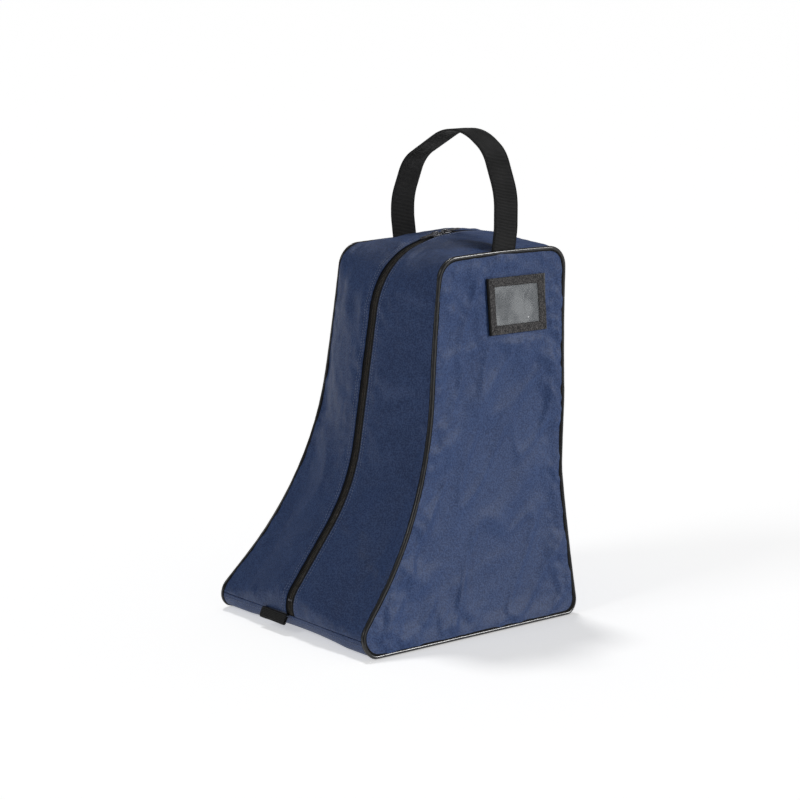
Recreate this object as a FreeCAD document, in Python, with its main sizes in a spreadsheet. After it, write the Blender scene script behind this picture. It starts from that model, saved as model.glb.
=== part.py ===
import FreeCAD, Part
import math
import os
import Sketcher
from FreeCAD import Placement, Rotation, Vector

# A tall zip-up shoe and boot bag, in millimetres. +Z is up, -Y is the toe and zip side, and +X is the side
# with the card holder. The origin is on the floor, under the middle of the bag.

doc = FreeCAD.newDocument("ShoeBag")
sheet = doc.addObject("Spreadsheet::Sheet", "Sizes")

# Corners of the two outlines, as seen from the +X side: depth (Y), height (Z) and the radius they are rounded to.
# The side outline is the seam line on each side. The centre outline is the line of the zip. Both run just below
# the floor, where the base panel is cut flat.
outlines = {
    "side": {
        "Heel": (143, -0.3, 18),
        "Waist": (142, 158, 150),
        "Shoulder": (152.8, 236, 200),
        "TopBack": (160.9, 400.5, 22),
        "Crown": (73.4, 402, 1500),
        "TopFront": (-16.6, 399, 26),
        "Instep": (-47.6, 143, 367),
        "Nose": (-176.6, -0.3, 19),
    },
    "centre": {
        "Heel": (145, -0.3, 24),
        "Waist": (145.4, 158, 150),
        "Shoulder": (154.4, 236, 200),
        "TopBack": (160.9, 400.8, 26),
        "Crown": (77.4, 425, 200),
        "TopFront": (-31.1, 389, 82),
        "Instep": (-69.6, 149.5, 197),
        "Nose": (-184.6, -0.3, 30),
    },
}

sizes = {
    # side walls: each is part of a large cylinder, hollow outwards, narrowest at the waist height
    "flareRadius": 2000,
    "waistHalf": 85.2,
    "waistHeight": 430,
    "crownHalf": 85.4,
    # cloth
    "wall": 1.2,
    "seamInset": 1.4,
    "panelInset": 1.5,
    "baseSeam": 19.5,
    "backSeam": 366,
    "backDepth": 100,
    "pipingRadius": 2,
    "pipingInset": 0.9,
    "bindingGap": 0.1,
    "bindingThick": 1.6,
    "bindingReach": 9,
    "crossBindingInset": 2.8,
    "crossBindingThick": 1.4,
    "crossBindingHalf": 6,
    "crossBindingTrim": 5,
    # base board
    "boardFloor": 1.6,
    "boardThick": 2.4,
    "boardTrim": 5,
    "boardFront": -124,
    "boardBack": 118,
    # zip: depths below the cloth's face, and half widths
    "zipOpening": 13,
    "tapeDepth": 1.3,
    "tapeThick": 0.8,
    "tapeInner": 3,
    "tapeOuter": 16,
    "chainDepth": 1.7,
    "coilThick": 1.6,
    "coilInner": 0.8,
    "coilOuter": 2.9,
    "stopHalf": 3.6,
    "stopLength": 2,
    "stopProud": 0.4,
    "stopThick": 2.6,
    "toeStopHeight": 36,
    "backStopHeight": 374,
    # sliders: lengths along the chain, heights from the middle of the chain
    "sliderLength": 12,
    "sliderNose": 9.6,
    "plateLow": 1.2,
    "plateHigh": 2.5,
    "flangeReach": 0.5,
    "flangeThick": 0.9,
    "webHalf": 0.5,
    "webLength": 3,
    "bridgeHalf": 1.2,
    "bridgeLength": 8,
    "bridgeHeight": 3.2,
    "bridgeHole": 1.9,
    "bridgeHoleLength": 5,
    "pullerHeight": 3.6,
    "pullerLength": 21,
    "pullerThick": 1.2,
    "pullerHalf": 2.9,
    "pullerBar": 0.6,
    "pullerSlot": 5.4,
    "pullerHole": 1.3,
    "pullerTilt": 2,
    "frontSliderTurn": 9.9,
    "rearSliderTurn": 6,
    # handle
    "webbingWidth": 32.6,
    "webbingThick": 2,
    "handleDepth": 71.9,
    "handleHalf": 87.5,
    "pivotHeight": 421.5,
    "pivotGap": 0.4,
    "farBowHeight": 447,
    "farBowRadius": 60,
    "farShoulder": -67,
    "farShoulderHeight": 492,
    "farShoulderRadius": 45,
    "archMiddle": 20,
    "archHeight": 537.5,
    "archRadius": 66,
    "nearShoulder": 68.3,
    "nearShoulderHeight": 506.7,
    "nearShoulderRadius": 40,
    "nearBowHeight": 462,
    "nearBowRadius": 70,
    "tailLean": 10,
    "tailTop": 17,
    "tailLength": 24,
    # card holder, on the +X side
    "holderDepth": 89.4,
    "holderHeight": 343,
    "holderWidth": 81,
    "holderRise": 61,
    "holderBorder": 9.5,
    "holderLift": 0.3,
    "holderBack": 0.5,
    "filmLift": 0.3,
    "filmThick": 0.4,
    "borderThick": 1.7,
    "filmLap": 2.5,
    # toe tab
    "tabWidth": 44,
    "tabMiddle": -24,
    "tabLength": 13,
    "tabThick": 3.2,
    "tabRootDepth": -151.4,
    "tabRootThick": 1.6,
    "tabRootLength": 1.6,
    "tabGap": 0.3,
    "tabHang": 24,
}
for outline, corners in outlines.items():
    for corner, (depth, height, radius) in corners.items():
        sizes[outline + corner + "Depth"] = depth
        sizes[outline + corner + "Height"] = height
        sizes[outline + corner + "Radius"] = radius

for row, (alias, value) in enumerate(sizes.items(), start=1):
    sheet.set(f"A{row}", alias)
    sheet.set(f"B{row}", str(value))
    sheet.setAlias(f"B{row}", alias)
doc.recompute()

longSide = 600  # longer than any part of the bag, for cutting blocks
axisX = Vector(1, 0, 0)
axisY = Vector(0, 1, 0)
facingX = Rotation(Vector(1, 1, 1), 120)  # a sketch's own x and y become the bag's Y and Z


def size(alias):
    return getattr(sheet, alias)


def add(kind, name, **properties):
    item = doc.addObject(kind, name)
    for key, value in properties.items():
        setattr(item, key, value)
    return item


def bind(item, **expressions):
    for path, expression in expressions.items():
        item.setExpression(path.replace("_", "."), expression)
    return item


def value(expression):
    return float(sheet.evalExpression(expression))


# ---------------------------------------------------------------- rounded outlines

def roundedCorners(corners, closed):
    """Tangent points, arc centre and radius at each rounded corner of a polygon."""
    found = []
    last = len(corners) - 1
    for index, (x, y, radius) in enumerate(corners):
        if not closed and index in (0, last):
            point = Vector(x, y, 0)
            found.append((point, point, None, 0, False))
            continue
        point = Vector(x, y, 0)
        before = corners[index - 1]
        after = corners[(index + 1) % len(corners)]
        back = (Vector(before[0], before[1], 0) - point).normalize()
        ahead = (Vector(after[0], after[1], 0) - point).normalize()
        half = back.getAngle(ahead) / 2
        reach = radius / math.tan(half)
        middle = point + (back + ahead).normalize() * (radius / math.sin(half))
        turnsLeft = back.cross(ahead).z < 0
        found.append((point + back * reach, point + ahead * reach, middle, radius, turnsLeft))
    return found


def addArc(sketch, start, end, middle, radius, turnsLeft):
    first, second = (start, end) if turnsLeft else (end, start)
    angles = [math.atan2(point.y - middle.y, point.x - middle.x) for point in (first, second)]
    circle = Part.Circle(middle, Vector(0, 0, 1), radius)
    return sketch.addGeometry(Part.ArcOfCircle(circle, *angles), False)


def roundedSketch(sketch, corners, closed=True):
    """Lines and tangent arcs round a polygon. Each corner is its two places and its radius, as expressions."""
    places = [tuple(value(part) for part in corner) for corner in corners]
    rounds = roundedCorners(places, closed)
    posts = []
    for (x, y, _), expressions in zip(places, corners):
        post = sketch.addGeometry(Part.Point(Vector(x, y, 0)), True)
        for kind, expression, number in (("DistanceX", expressions[0], x), ("DistanceY", expressions[1], y)):
            place = sketch.addConstraint(Sketcher.Constraint(kind, post, 1, number))
            sketch.setExpression(f"Constraints[{place}]", expression)
        posts.append(post)
    arcs = []
    for (start, end, middle, radius, turnsLeft), expressions in zip(rounds, corners):
        if middle is None:
            arcs.append(None)
            continue
        arc = addArc(sketch, start, end, middle, radius, turnsLeft)
        place = sketch.addConstraint(Sketcher.Constraint("Radius", arc, radius))
        sketch.setExpression(f"Constraints[{place}]", expressions[2])
        arcs.append((arc, 1, 2) if turnsLeft else (arc, 2, 1))
    sides = len(corners) if closed else len(corners) - 1
    for index in range(sides):
        following = (index + 1) % len(corners)
        line = sketch.addGeometry(Part.LineSegment(rounds[index][1], rounds[following][0]), False)
        # a line leaves one corner by its arc's far end and meets the next by its arc's near end
        for corner, lineEnd, arcEnd in ((index, 1, 2), (following, 2, 1)):
            if arcs[corner] is None:
                sketch.addConstraint(Sketcher.Constraint("Coincident", line, lineEnd, posts[corner], 1))
                continue
            arc = arcs[corner]
            sketch.addConstraint(Sketcher.Constraint("Tangent", line, lineEnd, arc[0], arc[arcEnd]))
            sketch.addConstraint(Sketcher.Constraint("PointOnObject", posts[corner], 1, line))
    return sketch


def outlineSketch(name, outline, expression):
    sketch = add("Sketcher::SketchObject", name, Placement=Placement(Vector(0, 0, 0), facingX))
    parts = ("Depth", "Height", "Radius")
    corners = [tuple(f"Sizes.{outline}{corner}{part}" for part in parts) for corner in outlines[outline]]
    roundedSketch(sketch, corners)
    return bind(sketch, Placement_Base_x=expression)


rightSketch = outlineSketch("RightOutline", "side", "Sizes.crownHalf")
centreSketch = outlineSketch("CentreOutline", "centre", "0")
leftSketch = outlineSketch("LeftOutline", "side", "-Sizes.crownHalf")


# ---------------------------------------------------------------- shapes that pieces are cut from

def inset(name, source, expression):
    return bind(add("Part::Offset2D", name, Source=source, Mode="Skin"), Value=f"-({expression})")


def prism(name, source, length):
    direction = Vector(math.copysign(1, length), 0, 0)
    body = add("Part::Extrusion", name, Base=source, Dir=direction, LengthFwd=abs(length), Solid=True)
    body.FaceMakerClass = "Part::FaceMakerSimple"
    return body


def form(name, expression):
    """The whole bag's outer shape, drawn in by a depth: domed between the outlines, straight past them."""
    sections = [leftSketch, centreSketch, rightSketch]
    if expression:
        sections = [inset(name + sketch.Name, sketch, expression) for sketch in sections]
    dome = add("Part::Loft", name + "Dome", Sections=sections, Solid=True, Ruled=False)
    right = prism(name + "Right", sections[2], longSide / 2)
    left = prism(name + "Left", sections[0], -longSide / 2)
    return add("Part::MultiFuse", name, Shapes=[left, dome, right], Refine=False)


def sideCylinder(name, side, expression):
    """The space outside a side wall, taken in by a depth."""
    space = add("Part::Cylinder", name, Height=longSide)
    space.Placement = Placement(Vector(0, longSide / 2, 0), Rotation(axisX, 90))
    bind(space, Radius=f"Sizes.flareRadius + {expression}", Placement_Base_z="Sizes.waistHeight")
    return bind(space, Placement_Base_x=f"{side} * (Sizes.waistHalf + Sizes.flareRadius)")


def bothSides(name, expression):
    right = sideCylinder(name + "Right", 1, expression)
    left = sideCylinder(name + "Left", -1, expression)
    return add("Part::MultiFuse", name, Shapes=[right, left])


def block(name, x=(), y=(), z=()):
    """A box between two expressions along each axis, or as long as anything where none are given."""
    box = add("Part::Box", name)
    for axis, extent, limits in (("x", "Length", x), ("y", "Width", y), ("z", "Height", z)):
        low, high = limits or (f"-{longSide}", f"{longSide}")
        bind(box, **{f"Placement_Base_{axis}": low, extent: f"({high}) - ({low})"})
    return box


def cut(name, base, tool):
    return add("Part::Cut", name, Base=base, Tool=tool)


def common(name, *shapes):
    return add("Part::MultiCommon", name, Shapes=list(shapes))


def skin(name, outer, depth):
    """A layer of the bag's wall, from an outer form down to a depth."""
    return cut(name, outer, form(name + "Inside", depth))


clothForm = form("ClothForm", None)
clothRing = skin("ClothRing", clothForm, "Sizes.wall")
cloth = cut("Cloth", clothRing, bothSides("SeamTrim", "Sizes.seamInset"))
belowBaseSeam = block("BelowBaseSeam", z=("0", "Sizes.baseSeam"))
belowBackSeam = block("BelowBackSeam", y=("Sizes.backDepth", "300"), z=("Sizes.baseSeam", "Sizes.backSeam"))
backSpace = block("BackSpace", y=("Sizes.backDepth", "300"), z=("-10", "Sizes.backSeam"))


def zipStrip(name, layer, side, low, high):
    """Part of a layer beside the zip, from the toe seam up, over the crown and down to the back seam."""
    limits = (low, high) if side > 0 else (f"-({high})", f"-({low})")
    strip = block(name + "Block", x=limits, z=("Sizes.baseSeam", str(longSide)))
    return cut(name, common(name + "Whole", layer, strip), backSpace)


tapeForm = form("TapeForm", "Sizes.tapeDepth")
tapeRing = skin("TapeRing", tapeForm, "Sizes.tapeDepth + Sizes.tapeThick")


def centrePrism(name, expression):
    """The zip line's own outline drawn in by a depth, straight across the chain."""
    outline = inset(name + "Outline", centreSketch, expression)
    body = prism(name, outline, 20)
    body.Placement = Placement(Vector(-10, 0, 0), Rotation())
    return body


coilRing = cut(
    "CoilRing",
    centrePrism("CoilOutside", "Sizes.chainDepth - Sizes.coilThick / 2"),
    centrePrism("CoilInside", "Sizes.chainDepth + Sizes.coilThick / 2"),
)
stopRing = cut(
    "StopRing",
    centrePrism("StopOutside", "Sizes.stopProud"),
    centrePrism("StopInside", "Sizes.stopProud + Sizes.stopThick"),
)
bindingForm = form("BindingForm", "Sizes.crossBindingInset")
bindingRing = skin("BindingRing", bindingForm, "Sizes.crossBindingInset + Sizes.crossBindingThick")

pieces = []


def piece(item, label):
    item.Label = label
    pieces.append(item)
    return item


# ---------------------------------------------------------------- cloth panels

piece(common("BasePanel", cloth, belowBaseSeam), "base_panel")
piece(common("BackPanel", cloth, belowBackSeam), "back_panel")
for label, side in (("right", 1), ("left", -1)):
    gusset = zipStrip(f"{label}Gusset", cloth, side, "Sizes.zipOpening / 2", str(longSide))
    piece(gusset, f"{label}_gusset")
    sketch = rightSketch if side > 0 else leftSketch
    outer = prism(f"{label}PanelOutline", inset(f"{label}PanelInset", sketch, "Sizes.panelInset"), side * 200)
    outer.Placement = Placement(Vector(-side * 30, 0, 0), Rotation())
    inner = sideCylinder(f"{label}PanelInside", side, "Sizes.wall")
    whole = common(f"{label}PanelWhole", outer, inner)
    panel = cut(f"{label}Panel", whole, sideCylinder(f"{label}PanelFace", side, "0"))
    piece(panel, f"{label}_side_panel")


# ---------------------------------------------------------------- zip

for label, side in (("right", 1), ("left", -1)):
    piece(zipStrip(f"{label}Tape", tapeRing, side, "Sizes.tapeInner", "Sizes.tapeOuter"), f"{label}_zip_tape")
    piece(zipStrip(f"{label}Coil", coilRing, side, "Sizes.coilInner", "Sizes.coilOuter"), f"{label}_zip_coil")

toeStop = common(
    "ToeStop",
    stopRing,
    block("ToeStopBlock", ("-Sizes.stopHalf", "Sizes.stopHalf"), ("-300", "0"),
          ("Sizes.toeStopHeight", "Sizes.toeStopHeight + Sizes.stopLength")),
)
backStop = common(
    "BackStop",
    stopRing,
    block("BackStopBlock", ("-Sizes.stopHalf", "Sizes.stopHalf"), ("0", "300"),
          ("Sizes.backStopHeight", "Sizes.backStopHeight + Sizes.stopLength")),
)
piece(add("Part::Compound", "ZipStops", Links=[toeStop, backStop]), "zip_stops")

# The chain over the crown is one arc, so each slider turns about the middle of that arc.
crownCorner = list(outlines["centre"]).index("Crown")
crownPlaces = [tuple(size(f"centre{corner}{part}") for part in ("Depth", "Height", "Radius"))
               for corner in outlines["centre"]]
crownMiddle = roundedCorners(crownPlaces, True)[crownCorner][2]
crownCentre = Vector(0, crownMiddle.x, crownMiddle.y)
chainRadius = size("centreCrownRadius") - size("chainDepth")


def onChain(turn, flipped):
    """Where a slider sits: its own Y runs back along the chain and its own Z stands off the crown."""
    place = Placement(crownCentre, Rotation(axisX, turn)) * Placement(Vector(0, 0, chainRadius), Rotation())
    return place * Placement(Vector(0, 0, 0), Rotation(Vector(0, 0, 1), 180 if flipped else 0))


def sliderBody(name):
    """Two plates joined by a web that runs between the two rows of coil, with a bridge for the puller."""
    half = "Sizes.sliderNose / 2"
    ends = ("-Sizes.sliderLength / 2", "Sizes.sliderLength / 2")
    parts = [
        block(name + "TopPlate", (f"-{half}", half), ends, ("Sizes.plateLow", "Sizes.plateHigh")),
        block(name + "BottomPlate", (f"-{half}", half), ends, ("-Sizes.plateHigh", "-Sizes.plateLow")),
        block(name + "Web", ("-Sizes.webHalf", "Sizes.webHalf"), (f"{ends[1]} - Sizes.webLength", ends[1]),
              ("-Sizes.plateLow", "Sizes.plateLow")),
    ]
    right = (f"{half} - Sizes.flangeThick", half)
    left = (f"-{half}", f"-{half} + Sizes.flangeThick")
    top = ("Sizes.plateLow - Sizes.flangeReach", "Sizes.plateLow")
    bottom = ("-Sizes.plateLow", "-Sizes.plateLow + Sizes.flangeReach")
    for suffix, edges, limits in (("TopRight", right, top), ("TopLeft", left, top),
                                  ("BottomRight", right, bottom), ("BottomLeft", left, bottom)):
        parts.append(block(name + suffix + "Flange", edges, ends, limits))
    bridge = block(name + "BridgeBlock", ("-Sizes.bridgeHalf", "Sizes.bridgeHalf"),
                   ("-Sizes.bridgeLength / 2", "Sizes.bridgeLength / 2"),
                   ("Sizes.plateHigh", "Sizes.plateHigh + Sizes.bridgeHeight"))
    hole = block(name + "BridgeHole", (), ("-Sizes.bridgeHoleLength / 2", "Sizes.bridgeHoleLength / 2"),
                 ("Sizes.plateHigh", "Sizes.plateHigh + Sizes.bridgeHole"))
    parts.append(cut(name + "Bridge", bridge, hole))
    return add("Part::MultiFuse", name, Shapes=parts)


def rod(name, radius, height):
    return bind(add("Part::Cylinder", name), Radius=radius, Height=height)


def puller(name):
    """A flat pull with a bar through the slider's bridge, a slot round the bridge and a hole near its tip."""
    half = "Sizes.pullerHalf"
    thick = ("-Sizes.pullerThick / 2", "Sizes.pullerThick / 2")
    tipMiddle = "-(Sizes.pullerLength - Sizes.pullerHalf)"
    blade = block(name + "Blade", (f"-{half}", half), (tipMiddle, "0"), thick)
    tip = rod(name + "Tip", half, "Sizes.pullerThick")
    bind(tip, Placement_Base_y=tipMiddle, Placement_Base_z=thick[0])
    whole = add("Part::MultiFuse", name + "Whole", Shapes=[blade, tip])
    arm = "Sizes.bridgeHalf + Sizes.pivotGap"
    slot = block(name + "Slot", (f"-({arm})", arm), ("-Sizes.pullerSlot", "1"), ())
    hole = rod(name + "Hole", "Sizes.pullerHole", "20")
    bind(hole, Placement_Base_y=tipMiddle, Placement_Base_z="-10")
    plate = cut(name + "Plate", whole, add("Part::MultiFuse", name + "Holes", Shapes=[slot, hole]))
    bar = rod(name + "Bar", "Sizes.pullerBar", "2 * Sizes.pullerHalf")
    bar.Placement = Placement(Vector(0, 0, 0), Rotation(axisY, 90))
    bind(bar, Placement_Base_x=f"-{half}")
    return add("Part::MultiFuse", name, Shapes=[plate, bar])


for label, turn, flipped in (("front", "frontSliderTurn", False), ("rear", "rearSliderTurn", True)):
    seat = onChain(size(turn), flipped)
    body = sliderBody(f"{label}Slider")
    body.Placement = seat
    piece(body, f"{label}_slider")
    pull = puller(f"{label}Puller")
    tilt = Placement(Vector(0, 0, size("pullerHeight")), Rotation(axisX, size("pullerTilt")))
    pull.Placement = seat * tilt
    piece(pull, f"{label}_puller")
    print(f"{label} slider turn {size(turn)}, puller hinge {pull.Placement.Base}")
print(f"crown arc centre {crownCentre}")

# ---------------------------------------------------------------- seams

def sideHalf(height):
    """Half the bag's width at a height."""
    drop = size("waistHeight") - height
    return size("waistHalf") + size("flareRadius") - math.sqrt(size("flareRadius") ** 2 - drop ** 2)


def smoothLoop(points):
    """A closed path of straight runs joined by tangent arcs."""
    count = len(points)
    rounds = []
    for index, point in enumerate(points):
        back = points[index - 1] - point
        ahead = points[(index + 1) % count] - point
        reach = 0.45 * min(back.Length, ahead.Length)
        start = point + back.normalize() * reach
        end = point + ahead.normalize() * reach
        half = back.getAngle(ahead) / 2
        towards = (back + ahead).normalize()
        radius = reach * math.tan(half)
        rounds.append((start, point + towards * (reach / math.cos(half) - radius), end))
    edges = []
    for index, (start, middle, end) in enumerate(rounds):
        edges.append(Part.LineSegment(rounds[index - 1][2], start).toShape())
        edges.append(Part.Arc(start, middle, end).toShape())
    return edges


def pipingPath(line, side, spacing):
    """The seam line of one side wall, following its flare, with no point lower than the cord's radius."""
    wire = line.Shape.Wires[0]
    samples = wire.discretize(Number=round(wire.Length / spacing) + 1)[:-1]
    points = []
    for sample in samples:
        height = max(sample.z, size("pipingRadius"))
        points.append(Vector(side * (sideHalf(height) - size("pipingInset")), sample.y, height))
    bends = []
    for index, point in enumerate(points):
        turn = (point - points[index - 1]).getAngle(points[(index + 1) % len(points)] - point)
        if math.degrees(turn) > 0.2:
            bends.append(point)
    return smoothLoop(bends)


def cordAlong(edges, radius):
    """A round cord along tangent edges, made as two halves that meet end to end."""
    halves = []
    for run in (edges[:len(edges) // 2], edges[len(edges) // 2:]):
        first = run[0].FirstParameter
        section = Part.Circle(run[0].valueAt(first), run[0].tangentAt(first), radius)
        halves.append(Part.Wire(run).makePipeShell([Part.Wire(section.toShape())], True, False))
    return halves[0].fuse(halves[1])


pipingLine = inset("PipingLine", rightSketch, "Sizes.pipingInset")
doc.recompute()
for label, side in (("right", 1), ("left", -1)):
    edges = pipingPath(pipingLine, side, 15)
    cord = cordAlong(edges, size("pipingRadius"))
    length = sum(edge.Length for edge in edges)
    ratio = cord.Volume / (math.pi * size("pipingRadius") ** 2 * length)
    print(f"{label} piping: {length:.0f} mm long, volume over section times length {ratio:.3f}")
    piece(add("Part::Feature", f"{label}Piping", Shape=cord), f"{label}_piping")

# a woven binding folded over the seam allowance, inside each side seam
sideDepth = "Sizes.wall + Sizes.bindingGap"
for label, side, sketch in (("right", 1, rightSketch), ("left", -1, leftSketch)):
    outer = prism(f"{label}BindingOutside", inset(f"{label}BindingEdge", sketch, sideDepth), side * 200)
    hem = inset(f"{label}BindingHem", sketch, f"{sideDepth} + Sizes.bindingReach")
    inner = prism(f"{label}BindingInside", hem, side * 200)
    for shape in (outer, inner):
        shape.Placement = Placement(Vector(-side * 30, 0, 0), Rotation())
    face = sideCylinder(f"{label}BindingFace", side, sideDepth)
    underside = sideCylinder(f"{label}BindingUnder", side, f"{sideDepth} + Sizes.bindingThick")
    ring = cut(f"{label}BindingRing", outer, inner)
    piece(cut(f"{label}Binding", common(f"{label}BindingWhole", ring, underside), face), f"{label}_seam_binding")

crossTrim = bothSides("CrossTrim", "Sizes.crossBindingTrim")
crossLayer = cut("CrossLayer", bindingRing, crossTrim)
for label, seam, limits in (("toe", "baseSeam", ("-300", "0")), ("back", "backSeam", ("Sizes.backDepth", "300"))):
    heights = (f"Sizes.{seam} - Sizes.crossBindingHalf", f"Sizes.{seam} + Sizes.crossBindingHalf")
    band = common(f"{label}CrossBinding", crossLayer, block(f"{label}CrossBlock", (), limits, heights))
    piece(band, f"{label}_seam_binding")

# ---------------------------------------------------------------- base board

boardBlock = block("BoardBlock", (), ("Sizes.boardFront", "Sizes.boardBack"),
                   ("Sizes.boardFloor", "Sizes.boardFloor + Sizes.boardThick"))
piece(cut("BaseBoard", boardBlock, bothSides("BoardTrimSpace", "Sizes.boardTrim")), "base_board")

# ---------------------------------------------------------------- handle

archPath = add("Sketcher::SketchObject", "HandlePath", Placement=Placement(Vector(0, 0, 0), Rotation(axisX, 90)))
roundedSketch(archPath, [
    ("-Sizes.handleHalf", "Sizes.pivotHeight", "0"),
    ("-Sizes.handleHalf", "Sizes.farBowHeight", "Sizes.farBowRadius"),
    ("Sizes.farShoulder", "Sizes.farShoulderHeight", "Sizes.farShoulderRadius"),
    ("Sizes.archMiddle", "Sizes.archHeight", "Sizes.archRadius"),
    ("Sizes.nearShoulder", "Sizes.nearShoulderHeight", "Sizes.nearShoulderRadius"),
    ("Sizes.handleHalf", "Sizes.nearBowHeight", "Sizes.nearBowRadius"),
    ("Sizes.handleHalf", "Sizes.pivotHeight", "0"),
], closed=False)
bind(archPath, Placement_Base_y="Sizes.handleDepth")
webbing = add("Part::Plane", "WebbingSection")
bind(webbing, Length="Sizes.webbingThick", Width="Sizes.webbingWidth",
     Placement_Base_x="-Sizes.handleHalf - Sizes.webbingThick / 2",
     Placement_Base_y="Sizes.handleDepth - Sizes.webbingWidth / 2", Placement_Base_z="Sizes.pivotHeight")
doc.recompute()
pathEdges = [f"Edge{index + 1}" for index in range(len(archPath.Shape.Edges))]
arch = add("Part::Sweep", "HandleArch", Sections=[webbing], Spine=(archPath, pathEdges), Solid=True, Frenet=False)


def pivotDisc(name, side):
    """The round end of one of the handle's legs."""
    disc = rod(name, "Sizes.webbingWidth / 2", "Sizes.webbingThick")
    disc.Placement = Placement(Vector(0, 0, 0), Rotation(axisY, 90))
    return bind(disc, Placement_Base_x=f"{side} * Sizes.handleHalf - Sizes.webbingThick / 2",
                Placement_Base_y="Sizes.handleDepth", Placement_Base_z="Sizes.pivotHeight")


ends = [pivotDisc("RightHandleDisc", 1), pivotDisc("LeftHandleDisc", -1)]
piece(add("Part::MultiFuse", "Handle", Shapes=[arch] + ends), "handle")

for label, side in (("right", 1), ("left", -1)):
    tail = block(f"{label}TailBlock", ("-Sizes.webbingThick / 2", "Sizes.webbingThick / 2"),
                 ("-Sizes.webbingWidth / 2", "Sizes.webbingWidth / 2"), ("-Sizes.tailLength", "-Sizes.tailTop"))
    leaning = add("Part::Compound", f"{label}Tail", Links=[tail])
    leaning.Placement = Placement(Vector(side * size("handleHalf"), size("handleDepth"), size("pivotHeight")),
                                  Rotation(axisY, side * size("tailLean")))
    piece(leaning, f"{label}_handle_end")

# ---------------------------------------------------------------- card holder

holderDrop = size("waistHeight") - size("holderHeight")
holderTurn = -math.degrees(math.asin(holderDrop / size("flareRadius")))
holderSeat = Placement(Vector(sideHalf(size("holderHeight")), size("holderDepth"), size("holderHeight")),
                       Rotation(axisY, holderTurn)) * Placement(Vector(size("holderLift"), 0, 0), Rotation())
holderY = ("-Sizes.holderWidth / 2", "Sizes.holderWidth / 2")
holderZ = ("-Sizes.holderRise / 2", "Sizes.holderRise / 2")


def holderBlock(name, x, border):
    return block(name, x, (f"{holderY[0]} + {border}", f"{holderY[1]} - ({border})"),
                 (f"{holderZ[0]} + {border}", f"{holderZ[1]} - ({border})"))


filmX = ("Sizes.holderBack + Sizes.filmLift", "Sizes.holderBack + Sizes.filmLift + Sizes.filmThick")
filmBorder = "Sizes.holderBorder - Sizes.filmLap"
back = holderBlock("HolderBackBlock", ("0", "Sizes.holderBack"), "0")
film = holderBlock("HolderFilmBlock", filmX, filmBorder)
window = holderBlock("HolderWindow", ("-5", "5"), "Sizes.holderBorder")
filmSpace = holderBlock("HolderFilmSpace", filmX, filmBorder)
whole = holderBlock("HolderBorderBlock", ("Sizes.holderBack", "Sizes.holderBack + Sizes.borderThick"), "0")
border = cut("HolderBorderFrame", whole, add("Part::MultiFuse", "HolderHollow", Shapes=[window, filmSpace]))
for shape, label in ((back, "card_holder_back"), (film, "card_holder_window"), (border, "card_holder_binding")):
    seated = add("Part::Compound", label + "_seated", Links=[shape])
    seated.Placement = holderSeat
    piece(seated, label)

# ---------------------------------------------------------------- toe tab

tabSides = ("Sizes.tabMiddle - Sizes.tabWidth / 2", "Sizes.tabMiddle + Sizes.tabWidth / 2")
root = block("ToeTabRoot", tabSides, ("Sizes.tabRootDepth - Sizes.tabRootLength", "Sizes.tabRootDepth"),
             ("Sizes.baseSeam - Sizes.tabRootThick / 2", "Sizes.baseSeam + Sizes.tabRootThick / 2"))
piece(root, "toe_tab_root")
radius = "Sizes.tabThick / 2"
reach = f"(Sizes.tabLength - 2 * {radius})"
flap = block("ToeTabFlap", tabSides, (f"-{radius}", radius), (f"-{reach}", "0"))
folds = [rod("ToeTabTop", radius, "Sizes.tabWidth"), rod("ToeTabFold", radius, "Sizes.tabWidth")]
for fold, height in zip(folds, ("0", f"-{reach}")):
    fold.Placement = Placement(Vector(0, 0, 0), Rotation(axisY, 90))
    bind(fold, Placement_Base_x=tabSides[0], Placement_Base_z=height)
tab = add("Part::MultiFuse", "ToeTab", Shapes=[flap] + folds)
tabPivot = size("tabRootDepth") - size("tabRootLength") - size("tabGap") - size("tabThick") / 2
tab.Placement = Placement(Vector(0, tabPivot, size("baseSeam")), Rotation(axisX, -size("tabHang")))
piece(tab, "toe_tab")

# ---------------------------------------------------------------- check and write

doc.recompute()
faults = [item.Name for item in doc.Objects if "Invalid" in item.State or "Error" in item.State]
faults += [item.Label for item in pieces if item.Shape.isNull() or not item.Shape.isValid()]
if faults:
    raise RuntimeError("failed: " + ", ".join(faults))
os.makedirs("parts", exist_ok=True)
for item in pieces:
    item.Shape.exportStep(f"parts/{item.Label}.step")
print(len(pieces), "pieces written")
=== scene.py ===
import math

import bmesh
import bpy
from mathutils import Matrix, Vector, noise
from mathutils.bvhtree import BVHTree
from mathutils.kdtree import KDTree


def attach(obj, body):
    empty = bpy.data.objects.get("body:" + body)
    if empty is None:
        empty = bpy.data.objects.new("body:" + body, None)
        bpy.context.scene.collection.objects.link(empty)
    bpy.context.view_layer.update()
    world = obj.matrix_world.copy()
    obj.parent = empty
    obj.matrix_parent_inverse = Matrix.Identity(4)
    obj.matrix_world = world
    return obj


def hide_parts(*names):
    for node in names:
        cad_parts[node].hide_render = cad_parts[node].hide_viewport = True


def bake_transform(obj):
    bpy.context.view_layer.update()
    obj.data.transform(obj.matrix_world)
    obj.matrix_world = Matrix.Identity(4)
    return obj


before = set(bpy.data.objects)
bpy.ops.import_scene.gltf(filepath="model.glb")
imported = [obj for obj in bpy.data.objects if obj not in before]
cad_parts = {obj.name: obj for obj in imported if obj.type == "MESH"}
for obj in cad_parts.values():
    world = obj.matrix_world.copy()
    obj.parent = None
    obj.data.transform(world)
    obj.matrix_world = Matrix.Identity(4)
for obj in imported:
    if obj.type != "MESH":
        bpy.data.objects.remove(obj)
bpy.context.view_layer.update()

scene = bpy.context.scene
outX = Vector((1, 0, 0))

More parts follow.
